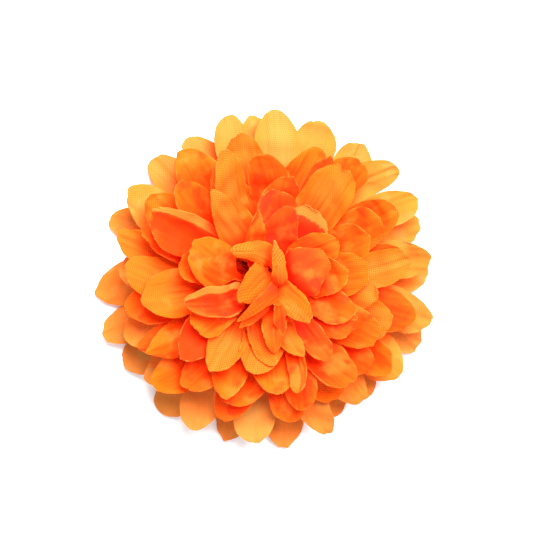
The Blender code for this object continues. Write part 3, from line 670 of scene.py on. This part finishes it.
def hub_grid(k, first, petals):
    """Points and quads of a hub disc, as thick as the solid one: two rings of a round hole and two of
    straight sides, as far out as the side's middle over the cosine of the angle from it."""
    slope = math.radians(NEST[k, 3])
    reach = NEST[k, 2] + HUB_RIM + (CAD_BLADE / 2 + ROOT_COVER) * math.sin(slope)
    turns = petals * HUB_SIDE_STEPS
    step = np.arange(turns)
    angle = math.radians(first) + 2 * math.pi * step / turns
    from_side = step % HUB_SIDE_STEPS
    from_side = np.where(from_side > HUB_SIDE_STEPS / 2, from_side - HUB_SIDE_STEPS, from_side)
    outer = np.minimum(reach / np.cos(from_side * 2 * math.pi / turns), reach * HUB_CORNER)
    hole = np.full(turns, HUB_HOLE_RADIUS)
    top = FIRST_HUB_Z + HUB_PITCH * k + HUB_THICKNESS / 2
    bottom = top - HUB_THICKNESS
    grid = np.stack([
        np.stack([radius * np.cos(angle), radius * np.sin(angle), np.full(turns, height)], -1)
        for radius, height in ((hole, top), (outer, top), (outer, bottom), (hole, bottom))])
    place = np.arange(4 * turns).reshape(4, turns)
    following = np.roll(place, -1, 1)
    low = np.roll(place, -1, 0)
    low_following = np.roll(following, -1, 0)
    return grid.reshape(-1, 3), np.stack([place, low, low_following, following], -1).reshape(-1, 4)


def rosette(name, k, special, material, fray):
    """One rosette: its petals as closed blades of cloth and its hub disc, with the flat place of the cloth in
    a UV map and ways along and across, distance to the edge and each petal's own tone as attributes."""
    faces_of_petal = skin_faces(PETAL_ROWS, PETAL_COLUMNS)
    points, flats, faces = [], [], []
    figures = {"along": [], "across": [], "rim": [], "tone": []}
    count = 0
    first, tips = TIPS[k]
    for i in range(len(tips)):
        pose = petal_pose(k, i, special.get(i + 1, {}))
        middle, normal, flat, t, across, to_edge = petal_grid(k, pose, fray)
        tone = np.full(t.shape, pose.get("tone", fine.uniform(-TONES_APART, TONES_APART)))
        for skin in (1, -1):
            points.append((middle + skin * normal * CLOTH_THICKNESS / 2).reshape(-1, 3))
            flats.append(flat.reshape(-1, 2))
            for figure, values in zip(figures, (t, across, to_edge, tone)):
                figures[figure].append(values.ravel())
        faces.append(faces_of_petal + count)
        count += 2 * t.size
    hub, hub_faces = hub_grid(k, first, len(tips))
    points.append(hub)
    flats.append(hub[:, :2])
    for figure, value in zip(figures, (0.0, 0.0, EDGE_REACH, 0.0)):
        figures[figure].append(np.full(len(hub), value))
    faces.append(hub_faces + count)
    piece = mesh_piece(name, np.concatenate(points), np.concatenate(faces), material)
    mesh = piece.data
    corners = np.empty(len(mesh.loops), np.int32)
    mesh.loops.foreach_get("vertex_index", corners)
    cloth_place = np.concatenate(flats)[corners] / CLOTH_SHEET + 0.5
    mesh.uv_layers.new(name="cloth").data.foreach_set("uv", cloth_place.astype(np.float32).ravel())
    for figure, values in figures.items():
        attribute = mesh.attributes.new(figure, "FLOAT", "POINT")
        attribute.data.foreach_set("value", np.concatenate(values).astype(np.float32))
    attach(piece, "root")
    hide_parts(f"petal_layer_{k + 1}")
    return piece


def group_sockets(group, inputs, outputs):
    """Give a node group its named inputs, with their kinds and resting values, and its outputs."""
    for name, kind, value in inputs:
        socket = group.interface.new_socket(name, in_out="INPUT", socket_type=kind)
        if value is not None:
            socket.default_value = value
    for name, kind in outputs:
        group.interface.new_socket(name, in_out="OUTPUT", socket_type=kind)
    return group.nodes.new("NodeGroupInput"), group.nodes.new("NodeGroupOutput")


def maths(group, operation, a, b=None, c=None):
    """One math node: each operand is a number or the socket that it comes from."""
    node = group.nodes.new("ShaderNodeMath")
    node.operation = operation
    for slot, operand in enumerate((a, b, c)):
        if operand is None:
            continue
        if isinstance(operand, (int, float)):
            node.inputs[slot].default_value = operand
        else:
            group.links.new(operand, node.inputs[slot])
    return node.outputs[0]


THREAD_ROUNDING = 0.6
THREAD_DIP = 0.35


def weave_group():
    """Plain weave: two sets of threads at right angles, each a row of rounded ridges that rise and dip as the
    cosine of the way along, out of step from thread to thread; the higher of the two sets shows."""
    group = bpy.data.node_groups.new("plain_weave", "ShaderNodeTree")
    start, end = group_sockets(
        group,
        [("Cloth", "NodeSocketVector", None), ("Threads", "NodeSocketFloat", CLOTH_SHEET / THREAD_PITCH)],
        [("Height", "NodeSocketFloat"), ("Gaps", "NodeSocketFloat")])
    scaled = group.nodes.new("ShaderNodeVectorMath")
    scaled.operation = "SCALE"
    group.links.new(start.outputs["Cloth"], scaled.inputs[0])
    group.links.new(start.outputs["Threads"], scaled.inputs["Scale"])
    split = group.nodes.new("ShaderNodeSeparateXYZ")
    group.links.new(scaled.outputs[0], split.inputs[0])
    sets = []
    for across, along, lag in ((0, 1, 0.0), (1, 0, 1.0)):
        number = maths(group, "FLOOR", split.outputs[across])
        turn = maths(group, "MULTIPLY", split.outputs[across], math.pi)
        ridge = maths(group, "ABSOLUTE", maths(group, "SINE", turn))
        ridge = maths(group, "POWER", ridge, THREAD_ROUNDING)
        way = maths(group, "ADD", maths(group, "ADD", split.outputs[along], number), lag - 0.5)
        dip = maths(group, "COSINE", maths(group, "MULTIPLY", way, math.pi))
        dip = maths(group, "MULTIPLY_ADD", dip, THREAD_DIP, 1 - THREAD_DIP)
        sets.append(maths(group, "MULTIPLY", ridge, dip))
    top = maths(group, "MAXIMUM", *sets)
    group.links.new(top, end.inputs["Height"])
    group.links.new(maths(group, "SUBTRACT", 1.0, top), end.inputs["Gaps"])
    return group


# Sizes of the dye's cloud, pools and streaks, how far each shifts the change of colour along a petal, and
# what a petal's tone and the nearness of its edge, in millimetres, add to that.
CLOUD_SCALE, CLOUD_SHIFT = 13.0, 0.55
POOL_SCALE = 19.0
STREAK_SCALE, STREAK_SHIFT, STREAKS_ACROSS = 2.2, 0.5, 2.6
PETALS_APART = 40.0
TONE_SHIFT = 0.14
EDGE_SHIFT, EDGE_REACH = 0.16, 3.0
# Shares of a petal's tone and of the pools in its blushes and yellows, and their limits.  The blush of a
# strongly negative tone is painted shade on petals that lie in shade.
BLUSH_AND_SHADE_BY_TONE, BLUSH_BY_POOL, BLUSH_AND_SHADE_LIMIT = -0.65, 0.55, 0.9
YELLOW_BY_TONE, YELLOW_BY_POOL, YELLOW_LIMIT = 0.5, 0.35, 0.7
# How much of the edge colour shows in pale patches, less over a blush, as a painted sheen in the middle of
# petals with a positive tone, on a turned lip and on the cut edge, and the most that counts as thin dye.
PALE_SHARE, PALE_BLUSHED = 0.55, 0.6
PAINTED_SHEEN_BY_TONE = 0.85
LIP_SHARE = 0.66
CUT_SHARE = 0.6
LIGHT_LIMIT = 1.2


def dye_group():
    """Dye along a petal: three colours blended from root to tip, the change shifted by a cloud in the cloth,
    by streaks along the petal and by each petal's own tone, which also reddens or yellows it; blushes where
    the dye pooled, pale patches, a painted sheen in the middle of petals with a positive tone, and a broken
    paler line where the cut edge has lost its dye.  The root colour's darkness and the blush of a strongly
    negative tone are partly painted shade.  Light is where the dye is thin, and in the painted sheen."""
    group = bpy.data.node_groups.new("petal_dye", "ShaderNodeTree")
    start, end = group_sockets(
        group,
        [("Cloth", "NodeSocketVector", None), ("Along", "NodeSocketFloat", 0.5),
         ("Across", "NodeSocketFloat", 0.0), ("Rim", "NodeSocketFloat", EDGE_REACH),
         ("Tone", "NodeSocketFloat", 0.0), ("Root Colour", "NodeSocketColor", None),
         ("Middle Colour", "NodeSocketColor", None), ("Tip Colour", "NodeSocketColor", None),
         ("Edge Colour", "NodeSocketColor", None), ("Blush and Shade Colour", "NodeSocketColor", None),
         ("Yellow Colour", "NodeSocketColor", None), ("Middle At", "NodeSocketFloat", 0.5),
         ("Tip At", "NodeSocketFloat", 0.9)],
        [("Colour", "NodeSocketColor"), ("Light", "NodeSocketFloat")])

    def noise(vector, scale, detail):
        """A cloud of this size and detail."""
        node = group.nodes.new("ShaderNodeTexNoise")
        set_inputs(node, {"Scale": scale, "Detail": detail})
        group.links.new(vector, node.inputs["Vector"])
        return node.outputs["Fac"]

    def blend(factor, a, b):
        """The first colour at 0 and the second at 1."""
        mix = group.nodes.new("ShaderNodeMix")
        mix.data_type = "RGBA"
        group.links.new(factor, mix.inputs["Factor"])
        group.links.new(a, mix.inputs["A"])
        group.links.new(b, mix.inputs["B"])
        return mix.outputs["Result"]

    def smooth(value, low, high):
        """0 at the low bound and 1 at the high one, eased at both."""
        span = group.nodes.new("ShaderNodeMapRange")
        span.interpolation_type = "SMOOTHSTEP"
        group.links.new(value, span.inputs["Value"])
        for socket, bound in (("From Min", low), ("From Max", high)):
            if isinstance(bound, (int, float)):
                span.inputs[socket].default_value = bound
            else:
                group.links.new(bound, span.inputs[socket])
        return span.outputs["Result"]

    def times(a, b):
        """The product of two values."""
        return maths(group, "MULTIPLY", a, b)

    def plus(a, share, b):
        """The share of a value added to another."""
        return maths(group, "MULTIPLY_ADD", a, share, b)

    def capped(value, most):
        """A value kept between 0 and the most."""
        return maths(group, "MINIMUM", maths(group, "MAXIMUM", value, 0.0), most)

    given = start.outputs
    petal = group.nodes.new("ShaderNodeCombineXYZ")
    group.links.new(times(given["Across"], STREAKS_ACROSS), petal.inputs[0])
    group.links.new(given["Along"], petal.inputs[1])
    group.links.new(times(given["Tone"], PETALS_APART), petal.inputs[2])
    cloud = noise(given["Cloth"], CLOUD_SCALE, 3.0)
    pools = noise(given["Cloth"], POOL_SCALE, 2.0)
    streaks = noise(petal.outputs[0], STREAK_SCALE, 3.0)
    outward = smooth(given["Along"], 0.1, 0.45)
    # The place in the change of colour from root to tip.
    place = plus(cloud, CLOUD_SHIFT, given["Along"])
    place = plus(streaks, STREAK_SHIFT, place)
    place = plus(given["Tone"], TONE_SHIFT, place)
    place = maths(group, "SUBTRACT", place, (CLOUD_SHIFT + STREAK_SHIFT) / 2)
    inside = maths(group, "DIVIDE", maths(group, "MAXIMUM", given["Rim"], 0.0), EDGE_REACH)
    near = maths(group, "SUBTRACT", 1.0, maths(group, "MINIMUM", inside, 1.0))
    place = plus(near, EDGE_SHIFT, place)
    # The root colour, darker than the dye's own redder base, is painted shade in the hollows round the hub.
    colour = blend(smooth(place, 0.15, given["Middle At"]), given["Root Colour"], given["Middle Colour"])
    light = smooth(place, given["Middle At"], given["Tip At"])
    colour = blend(light, colour, given["Tip Colour"])
    # Blushes and yellows, by the petal's tone and the pools.  The blush of a strongly negative tone is
    # painted shade.
    blush_and_shade_mask = plus(given["Tone"], BLUSH_AND_SHADE_BY_TONE, times(smooth(pools, 0.53, 0.68), BLUSH_BY_POOL))
    blush_and_shade_mask = capped(blush_and_shade_mask, BLUSH_AND_SHADE_LIMIT)
    colour = blend(times(blush_and_shade_mask, outward), colour, given["Blush and Shade Colour"])
    yellow = plus(given["Tone"], YELLOW_BY_TONE, times(smooth(pools, 0.45, 0.3), YELLOW_BY_POOL))
    colour = blend(times(capped(yellow, YELLOW_LIMIT), outward), colour, given["Yellow Colour"])
    # Pale patches, and a painted sheen in the middle of petals with a positive tone.
    calm = maths(group, "SUBTRACT", PALE_SHARE, times(blush_and_shade_mask, PALE_BLUSHED))
    pale = times(smooth(cloud, 0.52, 0.70), times(outward, calm))
    bowl = maths(group, "POWER", maths(group, "ABSOLUTE", given["Across"]), 2.0)
    bowl = times(maths(group, "SUBTRACT", 1.0, bowl), smooth(given["Along"], 0.38, 0.72))
    painted_sheen = times(maths(group, "MAXIMUM", given["Tone"], 0.0), PAINTED_SHEEN_BY_TONE)
    painted_sheen = times(times(painted_sheen, bowl), smooth(streaks, 0.2, 0.6))
    colour = blend(maths(group, "MAXIMUM", pale, painted_sheen), colour, given["Edge Colour"])
    light = maths(group, "MINIMUM", maths(group, "ADD", light, painted_sheen), LIGHT_LIMIT)
    # The cut edge and the turned lips.
    cut = times(times(smooth(given["Rim"], 0.5, 0.0), smooth(streaks, 0.42, 0.62)), CUT_SHARE)
    lip = times(smooth(given["Rim"], -0.1, -0.6), LIP_SHARE)
    colour = blend(maths(group, "MAXIMUM", cut, lip), colour, given["Edge Colour"])
    group.links.new(colour, end.inputs["Colour"])
    group.links.new(light, end.inputs["Light"])
    return group


plain_weave = weave_group()
petal_dye = dye_group()


THREAD_SHADE = (0.62, 0.22, 0.05)
WEAVE_AT_ROOT = 0.1
THROUGH_SHARE = 0.27


def cloth_material(name, root, middle, tip, edge, blush_and_shade, yellow, middle_at, tip_at, weave_shown):
    """Thin dyed polyester: the dye and weave groups over a sheened cloth shader, mixed with a share of light
    that comes through from the other side."""
    material = bpy.data.materials.new(name)
    material.use_nodes = True
    nodes = material.node_tree.nodes
    shader = nodes["Principled BSDF"]
    set_inputs(shader, {"Roughness": 0.72, "Specular IOR Level": 0.04, "Sheen Weight": 0.03,
                        "Sheen Roughness": 0.45, "Sheen Tint": (1.0, 0.52, 0.14, 1)})
    cloth = nodes.new("ShaderNodeUVMap")
    cloth.uv_map = "cloth"
    weave = nodes.new("ShaderNodeGroup")
    weave.node_tree = plain_weave
    dye = nodes.new("ShaderNodeGroup")
    dye.node_tree = petal_dye
    set_inputs(dye, {"Root Colour": (*root, 1), "Middle Colour": (*middle, 1), "Tip Colour": (*tip, 1),
                     "Edge Colour": (*edge, 1), "Blush and Shade Colour": (*blush_and_shade, 1), "Yellow Colour": (*yellow, 1),
                     "Middle At": middle_at, "Tip At": tip_at})
    for figure, socket in (("along", "Along"), ("across", "Across"), ("rim", "Rim"), ("tone", "Tone")):
        attribute = nodes.new("ShaderNodeAttribute")
        attribute.attribute_name = figure
        link_nodes(material, (attribute.outputs["Fac"], dye.inputs[socket]))
    threads = nodes.new("ShaderNodeMix")
    threads.data_type = "RGBA"
    threads.blend_type = "MULTIPLY"
    set_inputs(threads, {"B": (*THREAD_SHADE, 1)})
    shown = nodes.new("ShaderNodeMath")
    shown.operation = "MULTIPLY_ADD"
    set_inputs(shown, {1: weave_shown, 2: WEAVE_AT_ROOT * weave_shown})
    contrast = nodes.new("ShaderNodeMath")
    contrast.operation = "MULTIPLY"
    bump = nodes.new("ShaderNodeBump")
    set_inputs(bump, {"Strength": 0.6, "Distance": 0.00008})
    through = nodes.new("ShaderNodeBsdfTranslucent")
    both = nodes.new("ShaderNodeMixShader")
    set_inputs(both, {"Fac": THROUGH_SHARE})
    link_nodes(
        material,
        (cloth.outputs["UV"], weave.inputs["Cloth"]),
        (cloth.outputs["UV"], dye.inputs["Cloth"]),
        (dye.outputs["Colour"], threads.inputs["A"]),
        (dye.outputs["Light"], shown.inputs[0]),
        (shown.outputs["Value"], contrast.inputs[0]),
        (weave.outputs["Gaps"], contrast.inputs[1]),
        (contrast.outputs["Value"], threads.inputs["Factor"]),
        (threads.outputs["Result"], shader.inputs["Base Color"]),
        (threads.outputs["Result"], through.inputs["Color"]),
        (weave.outputs["Height"], bump.inputs["Height"]),
        (bump.outputs["Normal"], shader.inputs["Normal"]),
        (shader.outputs["BSDF"], both.inputs[1]),
        (through.outputs["BSDF"], both.inputs[2]),
        (both.outputs["Shader"], nodes["Material Output"].inputs["Surface"]),
    )
    return material


OUTER_FRAY = 0.18
# The outer cloth's blush colour is a tan: painted shade, laid by negative tones and, in patches, by the
# pools. Its dark red root colour is partly the dye's redder base and partly painted shade in the hollows
# round the hub.
outer_cloth = cloth_material(
    "outer_cloth", root=(0.84, 0.014, 0.001), middle=(0.86, 0.085, 0.002), tip=(0.90, 0.20, 0.022),
    edge=(0.92, 0.27, 0.068), blush_and_shade=(0.58, 0.26, 0.055), yellow=(0.90, 0.175, 0.016),
    middle_at=0.42, tip_at=0.88, weave_shown=0.45)
# Petals set differently from their neighbours, by their place from 1: how wide and pointed they are, how far
# they roll over, fold, cup and curl, the level they lie at, and the tone of their dye.  Here the negative
# tones of the lower petals, 10 to 17 of the first rosette and 10 to 13 of the second, tint them tan as
# painted shade, and a positive tone lays a painted sheen in a petal's middle.
OUTER = [
    {1: dict(tone=-0.1), 2: dict(tone=-0.2), 3: dict(wide=1.1, point=0.1, tone=0.5),
     4: dict(wide=1.15, point=0.0, tone=0.3), 9: dict(roll=4, wide=1.05, point=0.0, blunt=3.0, tone=-0.2),
     10: dict(tone=-0.5), 11: dict(tone=-0.9), 12: dict(tone=-1.0), 13: dict(tone=-0.7),
     14: dict(tone=-0.6), 15: dict(tone=-0.5), 16: dict(tone=-0.7), 17: dict(tone=-0.6)},
    {1: dict(tone=-0.1), 2: dict(wide=0.82, point=0.3, tone=0.0),
     3: dict(wide=0.95, point=0.3, blunt=3.6, tone=0.2), 5: dict(wide=1.08, point=0.1, tone=0.5),
     9: dict(tone=-0.2), 10: dict(tone=-0.8), 11: dict(tone=-0.8), 12: dict(tone=-0.95),
     13: dict(wide=1.0, point=0.1, tone=-0.5)},
]
for k, special in enumerate(OUTER):
    rosette(f"outer_rosette_{k + 1}", k, special, outer_cloth, OUTER_FRAY)

# The middle rosettes stand up in turn and carry most of what is seen.  Their cloth is dyed orange, and one or
# two petals are folded along the middle or rolled over to a side.
MIDDLE_FRAY = 0.20
# The middle cloth's dark red root colour is partly the dye's redder base and partly painted shade in the
# hollows round the hub.
middle_cloth = cloth_material(
    "middle_cloth", root=(0.82, 0.0034, 0.0003), middle=(0.88, 0.040, 0.0008), tip=(0.91, 0.142, 0.006),
    edge=(0.95, 0.23, 0.034), blush_and_shade=(0.90, 0.035, 0.0035), yellow=(0.92, 0.115, 0.0025),
    middle_at=0.58, tip_at=1.08, weave_shown=0.75)
# In the third middle rosette, the turned-lip petal 6 at tone -1.0 and petal 8 at tone -1.4 are reddened past
# their dye as painted shade for the hollows they lie in.
MIDDLE = [
    {9: dict(tone=-0.45), 10: dict(tone=-0.7), 11: dict(roll=6, cup=1.2, wide=1.05, point=0.1, tone=0.0),
     12: dict(tone=-0.5), 13: dict(roll=-8, cup=2.2, curl=-2.0, tone=-0.4)},
    {1: dict(roll=6, cup=0.8, wide=0.9, point=0.1, tone=0.7), 3: dict(point=0.8, tone=-0.8),
     4: dict(tone=-0.5), 5: dict(tone=0.3), 6: dict(tone=-0.3), 7: dict(fold=26, roll=22, tone=-0.5),
     8: dict(tone=0.4), 9: dict(fold=-40, roll=6, cup=-0.5, point=0.7, level=3.3, tone=-0.1),
     10: dict(tone=-0.5), 11: dict(tone=-0.3), 12: dict(roll=28, cup=-1.0, tone=-0.6),
     14: dict(tone=0.6)},
    {1: dict(tone=0.6), 2: dict(tone=0.1), 3: dict(roll=6, cup=1.0, blunt=3.0, tone=0.3),
     4: dict(tone=-0.7), 5: dict(roll=16, cup=1.4, wide=0.9, tone=0.5),
     6: dict(roll=-16, cup=3.0, curl=0.5, tone=-1.0, lip_side=-1),
     7: dict(roll=4, cup=1.0, wide=1.05, tone=0.3), 8: dict(tone=-1.4),
     9: dict(roll=22, cup=-1.0, tone=-0.3), 11: dict(roll=4, cup=-0.8, wide=0.85, tone=-0.6),
     12: dict(tone=-0.4)},
]
for k, special in enumerate(MIDDLE, 2):
    rosette(f"middle_rosette_{k - 1}", k, special, middle_cloth, MIDDLE_FRAY)

# The heart's three rosettes are small and steep.  Their cloth is dyed coral to orange, their petals bow in
# over the pin, and several are folded shut, curled at the tip and frayed along their cut edges.
HEART_FRAY = 0.22
# The heart cloth's darkest root colour is partly the dye's redder base and partly painted shade in the
# hollows round the hub.
heart_cloth = cloth_material(
    "heart_cloth", root=(0.75, 0.0022, 0.0003), middle=(0.90, 0.034, 0.0008), tip=(0.93, 0.130, 0.005),
    edge=(0.95, 0.24, 0.036), blush_and_shade=(0.92, 0.029, 0.008), yellow=(0.94, 0.105, 0.0025),
    middle_at=0.60, tip_at=1.10, weave_shown=0.8)
# Petal 2 of the first heart rosette, at tone -1.2, is reddened past its coral dye as painted shade, for its
# face stands in the shade of the petals round it.
HEART = [
    {1: dict(tone=0.1), 2: dict(curl=4.0, cup=1.0, roll=0, wide=0.95, tone=-1.2, lip_tip=0.15),
     3: dict(tone=-0.8),
     4: dict(cup=-0.8, roll=4, wide=0.84, sway=1.0, point=0.6, widest=0.62, tone=0.5),
     5: dict(cup=1.2, roll=18, wide=0.95, tone=-0.2), 6: dict(tone=0.1),
     7: dict(cup=2.0, roll=4, wide=0.86, blunt=2.6, sway=-1.0, tone=0.6), 8: dict(tone=0.5),
     9: dict(fold=30, wide=0.5, sway=0.0, tone=-0.2), 10: dict(tone=-0.5)},
    {2: dict(roll=20, cup=1.0, wide=0.95, sway=0.0, level=5.85, claw=0.45, tone=0.2),
     3: dict(roll=0, cup=1.0, wide=1.05, sway=0.0, level=5.8, widest=0.68, skew=-0.05, blunt=3.8,
             tone=-0.8),
     4: dict(fold=10, roll=10, wide=0.55, sway=0.0, level=6.3, tone=-0.2),
     5: dict(cup=-1.0, roll=4, sway=0.0, point=0.1, claw=0.5, wide=1.05, tone=0.1),
     6: dict(cup=3.6, roll=-18, wide=0.95, sway=0.0, tone=-0.7, lip_side=-1),
     7: dict(roll=4, cup=-0.8, wide=0.75, sway=0.0, tone=0.3),
     8: dict(roll=4, cup=-0.8, wide=0.62, sway=0.0, level=6.2, tone=0.5),
     9: dict(roll=10, cup=-0.8, wide=0.75, sway=0.0, level=5.8, tone=-0.6),
     10: dict(roll=0, cup=-1.4, wide=1.05, tone=-0.3)},
    {1: dict(cup=-3.0, wide=1.75, skew=0.0, wave=0.1, claw=0.15, tone=-0.7),
     2: dict(cup=-0.8, wide=0.58, point=0.8, claw=0.2, tone=0.4),
     3: dict(cup=-0.8, roll=-18, wide=0.8, claw=0.3, tone=0.4),
     4: dict(cup=-1.0, roll=-6, wide=1.05, claw=0.25, tone=0.2),
     5: dict(cup=-0.5, roll=-8, wide=0.72, point=0.6, claw=0.15, tone=-0.3),
     6: dict(cup=-0.5, roll=-8, wide=0.6, point=0.6, tone=-0.4), 7: dict(cup=-0.8, roll=6, tone=0.2),
     8: dict(cup=-0.5, roll=4, wide=0.48, claw=0.2, tone=-0.1), 9: dict(cup=-1.0, claw=0.15, tone=0.1)},
]
for k, special in enumerate(HEART, 5):
    rosette(f"heart_rosette_{k - 4}", k, special, heart_cloth, HEART_FRAY)
